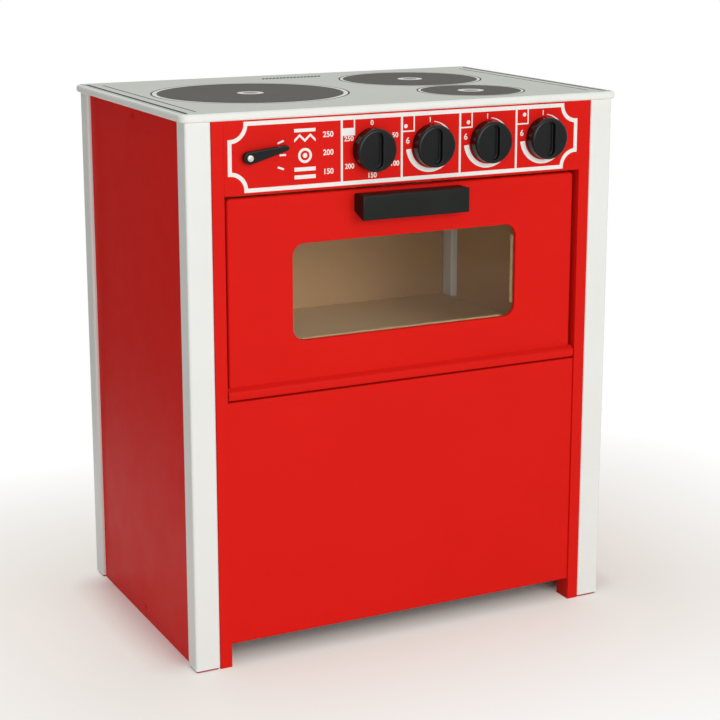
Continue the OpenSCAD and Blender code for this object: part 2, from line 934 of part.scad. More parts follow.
module catch_plate() {
    color(STEEL) placed() difference() {
        along_y(door_back, door_back + plate_t)
            soft_rect([-plate_half, door_top - plate_drop - plate_h],
                      [plate_half, door_top - plate_drop], plate_r);
        plate_screw_places() csk_hole(plate_screw_l, pin_d, 2 * pin_d);
    }
}

module plate_screws() {
    color(STEEL) placed()
        plate_screw_places() csk_screw(plate_screw_l, pin_d, 2 * pin_d);
}

module rail_dowels() {
    color(RAW) placed()
        rail_peg_places() dowel(rail_peg_l, peg_d);
}

module pivot_pins() {
    color(STEEL) placed()
        for (s = SIDES)
            bar_x(s < 0 ? -open_half - pivot_in_jamb : rail_half - pivot_in_rail,
                  s < 0 ? -rail_half + pivot_in_rail : open_half + pivot_in_jamb,
                  pivot_y, pivot_z, pivot_d / 2);
}

// ---- Knobs, each drawn with its front towards +Z ----

// Puts a knob's pieces on the panel's face
module on_panel(x, z, gap) {
    translate([x, -gap, z]) rotate([90, 0, 0]) children();
}

// A slot's outline, grown by more on every side
module slot_outline(more) {
    soft_rect([-slot_w / 2 - more, -slot_l / 2 - more],
              [slot_w / 2 + more, slot_l / 2 + more], slot_w / 2 + more - small);
}

// Moulded knob: a shell with a slot for the fingers, a boss for the spindle
// and ribs between them
module knob_shape() {
    r = knob_d / 2;
    face_t = knob_wall;
    floor_z = knob_h - slot_deep;
    boss_r = spindle_d / 2 + knob_wall;
    difference() {
        union() {
            difference() {
                rotate_extrude() corner_section(r, knob_h, knob_edge_r, 0);
                translate([0, 0, -small]) cylinder(h = knob_h - face_t + small, r = r - knob_wall);
            }
            translate([0, 0, floor_z - face_t]) linear_extrude(knob_h - floor_z)
                intersection() {
                    slot_outline(knob_wall);
                    circle(r - knob_wall / 2);
                }
            cylinder(h = floor_z - face_t / 2, r = boss_r);
            for (k = [0 : rib_count - 1])
                rotate([0, 0, (k + 0.5) * 360 / rib_count])
                    translate([boss_r - rib_bite, -rib_t / 2, knob_h / 4])
                        cube([r - boss_r, rib_t, 3 * knob_h / 4 - face_t / 2]);
        }
        translate([0, 0, floor_z]) linear_extrude(slot_deep + 1) slot_outline(0);
        translate([0, 0, -small]) cylinder(h = floor_z - face_t + small, d = spindle_d + 2 * fit);
    }
}

// Turned spindle: it runs from the knob's boss through the panel to the clip
module spindle_shape() {
    back = control_t + knob_gap + spindle_out;
    front = knob_h - slot_deep - knob_wall - end_gap;
    translate([0, 0, -back]) {
        cylinder(h = spindle_chamfer, d1 = spindle_d - 2 * spindle_chamfer, d2 = spindle_d);
        translate([0, 0, spindle_chamfer])
            cylinder(h = back + front - spindle_chamfer, d = spindle_d);
    }
}

module knob(n) {
    color(BLACK) placed() on_panel(knob_x(n), dial_z, knob_gap) knob_shape();
}

module spindle(n) {
    color(STEEL) placed() on_panel(knob_x(n), dial_z, knob_gap) spindle_shape();
}

module clip_behind(x, bore_d, outer_d) {
    color(STEEL) placed()
        on_panel(x, dial_z, -control_t - clip_gap - clip_t) push_clip(bore_d, outer_d, clip_t);
}

module knob_1() {
    knob(1);
}

module knob_2() {
    knob(2);
}

module knob_3() {
    knob(3);
}

module knob_4() {
    knob(4);
}

module spindle_1() {
    spindle(1);
}

module spindle_2() {
    spindle(2);
}

module spindle_3() {
    spindle(3);
}

module spindle_4() {
    spindle(4);
}

module spindle_clip_1() {
    clip_behind(knob_x(1), spindle_d, clip_d);
}

module spindle_clip_2() {
    clip_behind(knob_x(2), spindle_d, clip_d);
}

module spindle_clip_3() {
    clip_behind(knob_x(3), spindle_d, clip_d);
}

module spindle_clip_4() {
    clip_behind(knob_x(4), spindle_d, clip_d);
}

// ---- Lever ----

// Tapered outline between the hub and the tip
module lever_outline() {
    hull() {
        circle(lever_hub_r, $fn = 32);
        translate([lever_l, 0]) circle(lever_tip_r, $fn = 32);
    }
}

module lever() {
    color(BLACK) placed() on_panel(lever_x, dial_z, lever_off) difference() {
        rotate([0, 0, lever_rest]) linear_extrude(lever_t) lever_outline();
        translate([0, 0, -small]) cylinder(h = lever_t + 2 * small, d = lever_pin_d + 2 * fit);
    }
}

module lever_pin() {
    back = control_t + lever_off + spindle_out;
    color(STEEL) placed() on_panel(lever_x, dial_z, lever_off) {
        translate([0, 0, -back]) cylinder(h = back + lever_t, d = lever_pin_d);
        translate([0, 0, lever_t])
            rotate_extrude() corner_section(lever_head_d / 2, lever_head_t, lever_head_r, 0);
    }
}

module lever_spacer() {
    color(STEEL) placed() on_panel(lever_x, dial_z, small_gap) difference() {
        cylinder(h = lever_off - small_gap, d = spacer_d);
        translate([0, 0, -small]) cylinder(h = lever_off, d = lever_pin_d + 2 * fit);
    }
}

module lever_clip() {
    clip_behind(lever_x, lever_pin_d, clip_d * 2 / 3);
}

countertop();
post_front_left();
post_front_right();
post_rear_left();
post_rear_right();
foot_glides();
side_panel_left();
side_panel_right();
jamb_left();
jamb_right();
control_panel();
lower_panel();
back_panel();
oven_floor();
floor_battens();
top_battens();
top_stretcher();
base_stretcher();
rear_rail_top();
rear_rail_bottom();
lower_cleats();
control_cleats();
side_dowels();
jamb_dowels();
top_screws();
back_screws();
floor_screws();
side_screws();
catch_block();
catch_body();
catch_magnet();
catch_screws();
door_board();
door_rail();
window_pane();
pane_beads();
bead_pins();
door_handle();
handle_screws();
catch_plate();
plate_screws();
rail_dowels();
pivot_pins();
knob_1();
knob_2();
knob_3();
knob_4();
spindle_1();
spindle_2();
spindle_3();
spindle_4();
spindle_clip_1();
spindle_clip_2();
spindle_clip_3();
spindle_clip_4();
lever();
lever_pin();
lever_spacer();
lever_clip();
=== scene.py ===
"""A toy stove of painted wood: four white corner posts, red panels, a printed hob
board, black knobs and an oven with a drop-front door.

Lengths are in millimetres, x across, y back from the front faces of the posts
and z up, until place() turns a point into metres of the frame."""

import math

import bpy
from mathutils import Matrix, Vector


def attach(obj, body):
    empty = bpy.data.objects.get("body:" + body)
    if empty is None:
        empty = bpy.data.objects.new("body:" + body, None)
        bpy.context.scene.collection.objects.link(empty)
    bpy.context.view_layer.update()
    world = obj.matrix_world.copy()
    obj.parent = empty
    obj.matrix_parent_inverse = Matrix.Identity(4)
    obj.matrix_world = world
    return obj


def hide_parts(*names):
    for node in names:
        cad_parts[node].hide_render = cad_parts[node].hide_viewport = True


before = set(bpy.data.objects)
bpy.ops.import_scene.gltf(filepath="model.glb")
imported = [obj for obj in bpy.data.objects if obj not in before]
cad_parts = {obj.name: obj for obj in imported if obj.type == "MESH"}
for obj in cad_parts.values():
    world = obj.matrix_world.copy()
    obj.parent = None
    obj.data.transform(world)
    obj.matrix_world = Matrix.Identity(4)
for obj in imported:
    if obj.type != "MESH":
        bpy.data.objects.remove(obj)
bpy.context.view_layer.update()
scene = bpy.context.scene

MM = 0.001
FRONT = -121.25  # the posts' front faces in the frame
SIDES = {"left": -1, "right": 1}
AXES = {"x": Vector((1, 0, 0)), "y": Vector((0, 1, 0)), "z": Vector((0, 0, 1))}
ROD_TURNS = {"x": (0, math.pi / 2, 0), "y": (math.pi / 2, 0, 0), "z": (0, 0, 0)}


def place(x, y, z):
    return Vector((x, y + FRONT, z)) * MM


# ---- Camera: at the photograph's angle, level across and 12.7 degrees down ----

IMAGE = 720
FOCAL_PIXELS = 1773
SENSOR = 36
YAW, PITCH = 26.52, 12.74

camera = bpy.data.objects.new("camera", bpy.data.cameras.new("camera"))
scene.collection.objects.link(camera)
camera.location = (-0.658, -1.350, 0.599)
camera.rotation_euler = (math.radians(90 - PITCH), 0, math.radians(-YAW))
camera.data.sensor_width = SENSOR
camera.data.lens = FOCAL_PIXELS / IMAGE * SENSOR
camera.data.shift_y = -58 / IMAGE
camera.data.clip_start = 0.05
camera.data.clip_end = 100
scene.camera = camera


# ---- Materials ----

def linear(colour):
    """An sRGB colour like #aabbcc as linear red, green, blue and 1."""
    parts = [int(colour[i:i + 2], 16) / 255 for i in (1, 3, 5)]
    return [c / 12.92 if c <= 0.04045 else ((c + 0.055) / 1.055) ** 2.4 for c in parts] + [1.0]


def per_metre(mm):
    """The scale of a pattern whose marks are about this many mm across."""
    return 1 / (mm * MM)


def add_node(material, kind, sockets=(), **settings):
    """Adds a shader node; sockets is {input: a value, or another node's output}."""
    node = material.node_tree.nodes.new(kind)
    for name, value in settings.items():
        setattr(node, name, value)
    for name, value in dict(sockets).items():
        if isinstance(value, bpy.types.NodeSocket):
            material.node_tree.links.new(value, node.inputs[name])
        else:
            node.inputs[name].default_value = value
    return node


def new_material(name, **surface):
    """A material of one Principled shader, with these constants on its sockets."""
    material = bpy.data.materials.new(name)
    material.use_nodes = True
    shader = material.node_tree.nodes["Principled BSDF"]
    for socket, value in surface.items():
        shader.inputs[socket.replace("_", " ")].default_value = value
    return material, shader


def join(material, source, target):
    material.node_tree.links.new(source, target)


def object_point(material):
    return add_node(material, "ShaderNodeTexCoord").outputs["Object"]


def noise(material, point, mm, detail=2.0, **more):
    """A cloudy pattern whose clouds are about this many mm across."""
    sockets = {"Vector": point, "Scale": per_metre(mm), "Detail": detail, **more}
    return add_node(material, "ShaderNodeTexNoise", sockets).outputs["Fac"]


def cells(material, point, mm):
    """The distance from the middle of cells about this many mm across."""
    sockets = {"Vector": point, "Scale": per_metre(mm)}
    return add_node(material, "ShaderNodeTexVoronoi", sockets).outputs["Distance"]


def two_tone(material, factor, colour, shade):
    """From a colour, or another node's colour, to a shade."""
    first = colour if isinstance(colour, bpy.types.NodeSocket) else linear(colour)
    return add_node(material, "ShaderNodeMix", {0: factor, 6: first, 7: linear(shade)},
                    data_type="RGBA").outputs[2]


def spread(material, value, low, high, start=0.0, end=1.0):
    """From low to high while a value goes from start to end."""
    return add_node(material, "ShaderNodeMapRange",
                    {"Value": value, "From Min": start, "From Max": end,
                     "To Min": low, "To Max": high}).outputs["Result"]


def relief(material, height, deep_mm, strength=1.0, **under):
    """A height pattern as a fine relief, laid over another one when it is given."""
    return add_node(material, "ShaderNodeBump",
                    {"Height": height, "Distance": deep_mm * MM, "Strength": strength,
                     **under}).outputs["Normal"]


def finish(material, shader, **surface):
    """Joins what varies over a surface to the shader's sockets."""
    for socket, source in surface.items():
        join(material, source, shader.inputs[socket.replace("_", " ")])
    return material


def lacquer(name, colour, shade, roughness, peel_mm, peel_deep, fibre_mm=(), **surface):
    """Sprayed paint on sanded wood. The film has an orange-peel ripple, pools a
    little darker or lighter over some centimetres, and is not equally glossy."""
    material, shader = new_material(name, **surface)
    point = object_point(material)
    tint = two_tone(material, noise(material, point, 90, 3.0), colour, shade)
    gloss = spread(material, noise(material, point, 25),
                   roughness - 0.04, roughness + 0.05, 0.3, 0.7)
    ripple = relief(material, noise(material, point, peel_mm), peel_deep)
    if fibre_mm:
        length = add_node(material, "ShaderNodeMapping",
                          {"Vector": point, "Scale": [per_metre(size) for size in fibre_mm]})
        fibre = add_node(material, "ShaderNodeTexNoise",
                         {"Vector": length.outputs["Vector"], "Scale": 1.0, "Detail": 4.0})
        ripple = relief(material, fibre.outputs["Fac"], 0.03, 0.6, Normal=ripple)
    return finish(material, shader, Base_Color=tint, Roughness=gloss, Normal=ripple)


def pressed_board(name, colour, shade, fleck, fibre_mm, roughness):
    """Bare fibre board: matted fibres of two browns with darker flecks."""
    material, shader = new_material(name, IOR=1.45)
    point = object_point(material)
    fibres = noise(material, point, fibre_mm, 5.0, Distortion=0.6)
    tint = two_tone(material, fibres, colour, shade)
    specks = spread(material, cells(material, point, 2.5 * fibre_mm), 0.45, 0.0, 0.08, 0.2)
    return finish(material, shader, Base_Color=two_tone(material, specks, tint, fleck),
                  Roughness=spread(material, fibres, roughness - 0.08, roughness + 0.08),
                  Normal=relief(material, fibres, 0.08, 0.8))


def sawn_wood(name, early, late, along, ring_mm=3.5, roughness=0.62):
    """Planed softwood: growth rings drawn out along the stick, with fine pores."""
    material, shader = new_material(name, IOR=1.45)
    drawn = [1.0 if axis != along else 0.06 for axis in AXES]
    grain_space = add_node(material, "ShaderNodeMapping",
                           {"Vector": object_point(material),
                            "Scale": [per_metre(ring_mm) * k for k in drawn]}).outputs["Vector"]
    rings = add_node(material, "ShaderNodeTexNoise",
                     {"Vector": grain_space, "Scale": 1.0, "Detail": 3.0, "Distortion": 0.4})
    ramp = add_node(material, "ShaderNodeValToRGB", {"Fac": rings.outputs["Fac"]})
    for element, position, colour in zip(ramp.color_ramp.elements, (0.38, 0.66), (early, late)):
        element.position = position
        element.color = linear(colour)
    pores = add_node(material, "ShaderNodeTexNoise",
                     {"Vector": grain_space, "Scale": 6.0, "Detail": 3.0}).outputs["Fac"]
    return finish(material, shader, Base_Color=ramp.outputs["Color"],
                  Roughness=spread(material, pores, roughness - 0.1, roughness + 0.1),
                  Normal=relief(material, pores, 0.06, 0.7))


def moulded(name, colour, shade, roughness, grit_mm, grit_deep, **surface):
    """Moulded plastic: an even colour with the mould's fine spark-eroded texture."""
    material, shader = new_material(name, **surface)
    point = object_point(material)
    tint = two_tone(material, noise(material, point, 12), colour, shade)
    grit = noise(material, point, grit_mm, 3.0)
    gloss = spread(material, grit, roughness - 0.05, roughness + 0.05, 0.3, 0.7)
    return finish(material, shader, Base_Color=tint, Roughness=gloss,
                  Normal=relief(material, grit, grit_deep))


def plated(name, colour, shade, roughness, spangle_mm):
    """Plated steel: bright metal whose crystals show as faint patches."""
    material, shader = new_material(name, Metallic=1.0)
    patches = cells(material, object_point(material), spangle_mm)
    return finish(material, shader, Base_Color=two_tone(material, patches, colour, shade),
                  Roughness=spread(material, patches, roughness - 0.06, roughness + 0.1))


def screen_ink(name, colour, shade, roughness):
    """Screen-printed ink: nearly flat, with the pinholes and ripple of the mesh."""
    material, shader = new_material(name, Specular_IOR_Level=0.05)
    point = object_point(material)
    tint = two_tone(material, noise(material, point, 40, 4.0), colour, shade)
    mesh_marks = noise(material, point, 0.6, 1.0)
    gloss = spread(material, mesh_marks, roughness - 0.05, roughness + 0.06, 0.3, 0.7)
    return finish(material, shader, Base_Color=tint, Roughness=gloss,
                  Normal=relief(material, mesh_marks, 0.004))


# Satin white lacquer on the posts; the wood's long fibres just telegraph through.
white_lacquer = lacquer("white_lacquer_on_pine", "#ebedea", "#e5e7e2", 0.36, 1.6, 0.012,
                        (1.4, 1.4, 60), Specular_IOR_Level=0.3)
# Red semi-gloss lacquer on fibre board: smooth, with a sprayed ripple.
red_lacquer = lacquer("red_lacquer_on_board", "#dc1d16", "#d61a13", 0.38, 2.2, 0.014,
                      Specular_IOR_Level=0.05)
# White lacquer of the hob board, a little cooler than the posts'; it has a soft sheen.
hob_lacquer = lacquer("white_lacquer_on_board", "#eef0ea", "#e6e8e2", 0.36, 1.8, 0.012,
                      Specular_IOR_Level=0.2)
# Black lacquer on beech: the pores of the wood show as short dents along the bar.
black_lacquer = lacquer("black_lacquer_on_beech", "#0d100d", "#121511", 0.38, 1.2, 0.012,
                        (9, 0.5, 0.5), Specular_IOR_Level=0.2)
# Raw fibre board inside the oven: matt tan, with a fuzz of fibres and brown flecks.
fibre_board = pressed_board("raw_fibre_board", "#dcbb8e", "#cdaa7c", "#a5815f", 0.9, 0.78)
# The oven floor's board: paler and a little smoother than the walls' board, with the same flecks.
# Its paler colour is painted light, for the light that falls on the floor through the window.
lit_oven_floor_board = pressed_board("fibre_board_painted_lit", "#efd2a6", "#e0c194", "#b59470", 0.9, 0.7)
# Tempered hardboard of the back: finer fibres, deeper brown, with a dull shine.
hardboard = pressed_board("tempered_hardboard", "#c9a276", "#b99367", "#8f6e4d", 0.7, 0.6)
# Planed pine of battens and rails: pale wood with honey rings that run along each stick.
pine_across = sawn_wood("planed_pine_across", "#dcbc8a", "#c79a62", "x")
pine_deep = sawn_wood("planed_pine_deep", "#dcbc8a", "#c79a62", "y")
pine_upright = sawn_wood("planed_pine_upright", "#dcbc8a", "#c79a62", "z")
# Beech dowels: pinker than pine, with fine close rings and a smooth turned face.
beech = sawn_wood("turned_beech", "#cfa777", "#b98a5c", "y", 1.8, 0.5)
# Black ABS of the knobs and lever: deep black, with sharp lights on the rims. Its grit
# is drawn 3 times as coarse as it is, so that it shows.
black_abs = moulded("moulded_black_abs", "#0a0d0b", "#0d100e", 0.24, 0.45, 0.006,
                    Specular_IOR_Level=0.25)
# White ABS of the catch: an even off-white with a soft sheen.
white_abs = moulded("moulded_white_abs", "#e6e5df", "#dedcd5", 0.38, 0.5, 0.006, IOR=1.53)
# Red polythene of the glides: waxy and dull, a shade darker than the paint.
red_glide = moulded("moulded_red_polythene", "#b01a16", "#9e1512", 0.5, 0.8, 0.01, IOR=1.5)
# Zinc on screws, pins and clips: bluish grey metal with small crystal patches.
zinc = plated("zinc_plated_steel", "#c9ccce", "#b3b7ba", 0.3, 1.1)
# Nickel on the lever's rivet: a warmer, brighter glint.
nickel = plated("nickel_plated_steel", "#d9d6cf", "#c8c5be", 0.24, 0.9)
# Sintered ferrite of the magnet: dark grey, and rough like fine stone.
ferrite = moulded("sintered_ferrite", "#3a3a3b", "#2c2c2d", 0.55, 0.4, 0.02, IOR=1.6)
# Screen inks: thin flat coats. The hob has a pale grey ground, warm grey plates,
# charcoal lines and a mid grey border; the white goes over red on the control panel.
grey_ink = screen_ink("pale_grey_screen_ink", "#d8dbd3", "#d2d5cd", 0.6)
disc_ink = screen_ink("warm_grey_screen_ink", "#5b5955", "#565450", 0.6)
line_ink = screen_ink("charcoal_screen_ink", "#343835", "#2e312f", 0.6)
border_ink = screen_ink("mid_grey_screen_ink", "#a3a7a0", "#9ca099", 0.6)
white_ink = screen_ink("white_screen_ink", "#f0efeb", "#e9e8e3", 0.5)

# Cast acrylic sheet: clear, with a faint haze where hands have wiped it. Its grey specular tint is
# painted darkness in its reflections, dimming the white room it would mirror.
acrylic, pane_shader = new_material("clear_acrylic", IOR=1.49, Transmission_Weight=1.0,
                                    Specular_Tint=linear("#737373"), Base_Color=linear("#f8fbf9"))
wiped = noise(acrylic, object_point(acrylic), 30, 4.0)
finish(acrylic, pane_shader, Roughness=spread(acrylic, wiped, 0.0, 0.05))
# Lamps light the oven through the pane as they would through thin clear sheet
lit_through = add_node(acrylic, "ShaderNodeMixShader",
                       {0: add_node(acrylic, "ShaderNodeLightPath").outputs["Is Shadow Ray"],
                        1: pane_shader.outputs["BSDF"],
                        2: add_node(acrylic, "ShaderNodeBsdfTransparent").outputs["BSDF"]})
join(acrylic, lit_through.outputs["Shader"],
     acrylic.node_tree.nodes["Material Output"].inputs["Surface"])


# ---- Modelling tools ----

def only(piece):
    """Selects one piece alone."""
    bpy.ops.object.select_all(action="DESELECT")
    piece.select_set(True)
    bpy.context.view_layer.objects.active = piece


def settled(name):
    """Names what was just made, and moves its place and turn into its mesh."""
    piece = bpy.context.object
    piece.name = piece.data.name = name
    bpy.ops.object.transform_apply(location=True, rotation=True, scale=True)
    return piece


def block(name, x, y, z):
    """A block between two values of x, of y and of z."""
    bpy.ops.object.select_all(action="DESELECT")
    bpy.ops.mesh.primitive_cube_add(
        size=1, location=place(*(sum(side) / 2 for side in (x, y, z))),
        scale=[(side[1] - side[0]) * MM for side in (x, y, z)])
    return settled(name)


def rod(name, middle, radius, length, axis, facets=64):
    """A round bar of that length about its middle, along an axis."""
    bpy.ops.object.select_all(action="DESELECT")
    bpy.ops.mesh.primitive_cylinder_add(
        vertices=facets, radius=radius * MM, depth=length * MM,
        location=place(*middle), rotation=ROD_TURNS[axis])
    return settled(name)


def anywhere(x, y, z):
    return True


def open_with(piece, kind, wanted, along=None):
    """Opens a piece in edit mode with the corners, edges or faces selected whose
    corners and middle all lie where wanted() says; along keeps the edges along an axis."""
    only(piece)
    bpy.ops.object.mode_set(mode="EDIT")
    bpy.ops.mesh.select_mode(type=kind)
    bpy.ops.mesh.select_all(action="DESELECT")
    bpy.ops.object.mode_set(mode="OBJECT")
    mesh = piece.data

    def fits(point):
        return wanted(point.x / MM, point.y / MM - FRONT, point.z / MM)

    for part in {"VERT": mesh.vertices, "EDGE": mesh.edges, "FACE": mesh.polygons}[kind]:
        corners = [part.co] if kind == "VERT" else [mesh.vertices[i].co for i in part.vertices]
        chosen = all(fits(c) for c in corners) and fits(sum(corners, Vector()) / len(corners))
        if chosen and along:
            chosen = abs((corners[1] - corners[0]).normalized().dot(AXES[along])) > 0.99
        part.select = chosen
    bpy.ops.object.mode_set(mode="EDIT")


def round_edges(piece, radius, steps, wanted=anywhere, along=None):
    open_with(piece, "EDGE", wanted, along)
    bpy.ops.mesh.bevel(offset=radius * MM, segments=steps, affect="EDGES")
    bpy.ops.object.mode_set(mode="OBJECT")


def ease_all(piece, radius, steps=3):
    """Sands every sharp edge to a small round."""
    only(piece)
    bpy.ops.object.mode_set(mode="EDIT")
    bpy.ops.mesh.select_mode(type="EDGE")
    bpy.ops.mesh.select_all(action="DESELECT")
    bpy.ops.mesh.edges_select_sharp(sharpness=math.radians(50))
    bpy.ops.mesh.bevel(offset=radius * MM, segments=steps, affect="EDGES")
    bpy.ops.object.mode_set(mode="OBJECT")


def plane_off(piece, point, outward):
    """Planes away all that lies outside a plane through a point."""
    only(piece)
    bpy.ops.object.mode_set(mode="EDIT")
    bpy.ops.mesh.select_all(action="SELECT")
    bpy.ops.mesh.bisect(plane_co=place(*point), plane_no=outward, use_fill=True, clear_outer=True)
    bpy.ops.object.mode_set(mode="OBJECT")


def cut(piece, tool):
    """Cuts the tool's shape out of the piece, and puts the tool away."""
    cutting = piece.modifiers.new("cutting", "BOOLEAN")
    cutting.operation = "DIFFERENCE"
    cutting.solver = "EXACT"
    cutting.object = tool
    only(piece)
    bpy.ops.object.modifier_apply(modifier=cutting.name)
    bpy.data.objects.remove(tool)


def smooth(piece, angle=40):
    """Smooth rounds between flat faces that stay flat."""
    only(piece)
    bpy.ops.object.shade_smooth_by_angle(angle=math.radians(angle))
    weights = piece.modifiers.new("flat_faces", "WEIGHTED_NORMAL")
    weights.keep_sharp = True
    bpy.ops.object.modifier_apply(modifier=weights.name)


def copy_of(piece, name, turn):
    """A copy with its own mesh, moved or turned about the frame's origin."""
    only(piece)
    bpy.ops.object.duplicate()
    twin = bpy.context.object
    twin.matrix_world = turn
    return settled(name)


def joined(pieces, name):
    """Several separate solids kept as one piece."""
    only(pieces[0])
    for piece in pieces:
        piece.select_set(True)
    if len(pieces) > 1:
        bpy.ops.object.join()
    return settled(name)


def mount(piece, body, slot, material, *nodes):
    """Gives a finished piece its material, its body and the CAD nodes it stands for."""
    if material:
        piece.data.materials.clear()
        piece.data.materials.append(material)
    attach(piece, body)
    if nodes:
        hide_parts(*nodes)


# ---- Sizes that the pieces share ----

HALF_W, BODY_D = 190, 250
POST_W, POST_D = 21, 18
GLIDE_T, POST_TOP, HOB_TOP = 1.5, 438.5, 445
FILM = 0.04  # how far ink stands proud
BOARD_TOP = HOB_TOP - 2 * FILM  # the hob board, under two coats of ink
OPEN_HALF, JAMB_OUT = 159, 169
SIDE_OUT, SIDE_IN = 187, 175
SIDE_SCREW_Z = (10.5, 431)
REAR_FACE = BODY_D - POST_D
PANEL_Z = 381
DIAL_Z = 410
KNOB_X = {1: -34.3, 2: 18.3, 3: 70.9, 4: 123.5}
LEVER_X = -140
DOOR_HALF, DOOR_FACE, DOOR_BACK = 156, 4, 13
DOOR_Z, DOOR_TOP = 230, 378.5
WINDOW_HALF, WINDOW_LOW, WINDOW_HIGH = 101, 261.7, 339.2
TOUCH, NEAR = 0.01, 0.1  # what counts as on a face, and as at its edge


# ---- Carcass ----

def make_posts():
    """Planed square posts with rounded long edges, all four alike."""
    first = block("post_front_left_lacquered", (-HALF_W, POST_W - HALF_W), (0, POST_D),
                  (GLIDE_T, POST_TOP))
    round_edges(first, 2, 5, along="z")
    ease_all(first, 0.4, 2)
    smooth(first)
    across, back = (2 * HALF_W - POST_W) * MM, REAR_FACE * MM
    made = {"post_front_left": first}
    for node, shift in {"post_front_right": (across, 0, 0), "post_rear_left": (0, back, 0),
                        "post_rear_right": (across, back, 0)}.items():
        made[node] = copy_of(first, node + "_lacquered", Matrix.Translation(shift))
    for node, post in made.items():
        mount(post, "cabinet", "white_paint", white_lacquer, node)


def make_side_panels():
    """Side panels, red outside and bare board inside, sunk for two screws each."""
    sink_r, sink_deep = 3.15, 2
    for side, s in SIDES.items():
        node = "side_panel_" + side
        panel = block(node + "_board", sorted((s * SIDE_IN, s * SIDE_OUT)), (POST_D, REAR_FACE),
                      (0, POST_TOP))
        for z in SIDE_SCREW_Z:
            cut(panel, rod("sinking", (s * SIDE_OUT, BODY_D / 2, z), sink_r, 2 * sink_deep,
                           "x", 32))
        ease_all(panel, 0.5, 2)
        smooth(panel)
        mount(panel, "cabinet", "red_paint", red_lacquer, node)
        panel.data.materials.append(fibre_board)
        for face in panel.data.polygons:
            if abs(abs(face.center.x) - SIDE_IN * MM) < 2 * NEAR * MM:
                face.material_index = 1


def make_front_boards():
    """Jambs, control panel and lower panel, flush or nearly flush with the posts."""
    for side, s in SIDES.items():
        node = "jamb_" + side
        jamb = block(node + "_strip", sorted((s * OPEN_HALF, s * JAMB_OUT)), (0, POST_D),
                     (0, POST_TOP))
        ease_all(jamb, 0.35, 2)
        smooth(jamb)
        mount(jamb, "cabinet", "red_paint", red_lacquer, node)
    board_t, lower_in, toe_gap, lower_top = 9, 1.5, 19, 218.8
    panel = block("control_panel_board", (-OPEN_HALF, OPEN_HALF), (0, board_t),
                  (PANEL_Z, POST_TOP))
    round_edges(panel, 0.8, 4, lambda x, y, z: y < NEAR and z < PANEL_Z + NEAR, "x")
    smooth(panel)
    mount(panel, "cabinet", "red_paint", red_lacquer, "control_panel")
    lower = block("lower_panel_board", (-OPEN_HALF, OPEN_HALF),
                  (lower_in, lower_in + board_t), (toe_gap, lower_top))
    ease_all(lower, 0.6, 3)
    smooth(lower)
    mount(lower, "cabinet", "red_paint", red_lacquer, "lower_panel")


def make_hob_board():
    """The hob board: turned corners, and edges rolled over above and below."""
    over_side, over_front, over_rear, corner_r, edge_r = 3.5, 2.8, 4.5, 7, 2.4
    board = block("hob_board", (-HALF_W - over_side, HALF_W + over_side),
                  (-over_front, BODY_D + over_rear), (POST_TOP, BOARD_TOP))
    round_edges(board, corner_r, 10, along="z")
    round_edges(board, edge_r, 6, lambda x, y, z: z < POST_TOP + TOUCH)
    round_edges(board, edge_r, 6, lambda x, y, z: z > BOARD_TOP - TOUCH)
    smooth(board)
    mount(board, "cabinet", "hob_paint", hob_lacquer, "countertop")


# ---- Door ----

def in_window(x, z, more=0.2):
    return abs(x) < WINDOW_HALF + more and WINDOW_LOW - more < z < WINDOW_HIGH + more


def make_door():
    """The door board: rounded front edges, and a window rebated from behind."""
    corner_r, window_r, step, step_r, skin = 3, 10, 6, 15.9, 3
    door = block("door_leaf", (-DOOR_HALF, DOOR_HALF), (DOOR_FACE, DOOR_BACK),
                 (DOOR_Z, DOOR_TOP))
    round_edges(door, corner_r, 6, lambda x, y, z: z > DOOR_TOP - 1, "y")
    opening = block("opening", (-WINDOW_HALF, WINDOW_HALF), (DOOR_FACE - 1, DOOR_BACK + 1),
                    (WINDOW_LOW, WINDOW_HIGH))
    round_edges(opening, window_r, 12, along="y")
    rebate = block("rebate", (-WINDOW_HALF - step, WINDOW_HALF + step),
                   (DOOR_FACE + skin, DOOR_BACK + 1), (WINDOW_LOW - step, WINDOW_HIGH + step))
    round_edges(rebate, step_r, 12, along="y")
    cut(door, opening)
    cut(door, rebate)

    def front_rim(x, y, z):
        past_x = max(abs(x) - DOOR_HALF + corner_r, 0)
        past_z = max(z - DOOR_TOP + corner_r, 0)
        return y < DOOR_FACE + TOUCH and math.hypot(past_x, past_z) > corner_r - NEAR

    round_edges(door, 1.75, 5, front_rim)
    round_edges(door, 0.9, 4, lambda x, y, z: y < DOOR_FACE + TOUCH and in_window(x, z))
    smooth(door)
    mount(door, "door", "red_paint", red_lacquer, "door_board")


def make_rail():
    """The rail under the door: bevelled up to the leaf, and planed round the pivot
    in narrow flats below, so that it turns clear of the lower panel."""
    pivot_y, pivot_z, clear_r = 5.7, 224.5, 5.6
    half, rail_z, nose_z = 158, 220.3, 227
    rail = block("door_bottom_rail", (-half, half), (0, DOOR_BACK), (rail_z, DOOR_Z))
    plane_off(rail, (0, 0, nose_z), (0, -0.6, 0.8))
    for step in range(6):
        turn = math.radians(188 + 8 * step)
        flat = (0, math.cos(turn), math.sin(turn))
        plane_off(rail, (0, pivot_y + clear_r * flat[1], pivot_z + clear_r * flat[2]), flat)
    round_edges(rail, 1.5, 5, lambda x, y, z: y < NEAR and z > nose_z - 1, "x")
    smooth(rail, 30)
    mount(rail, "door", "red_paint", red_lacquer, "door_rail")


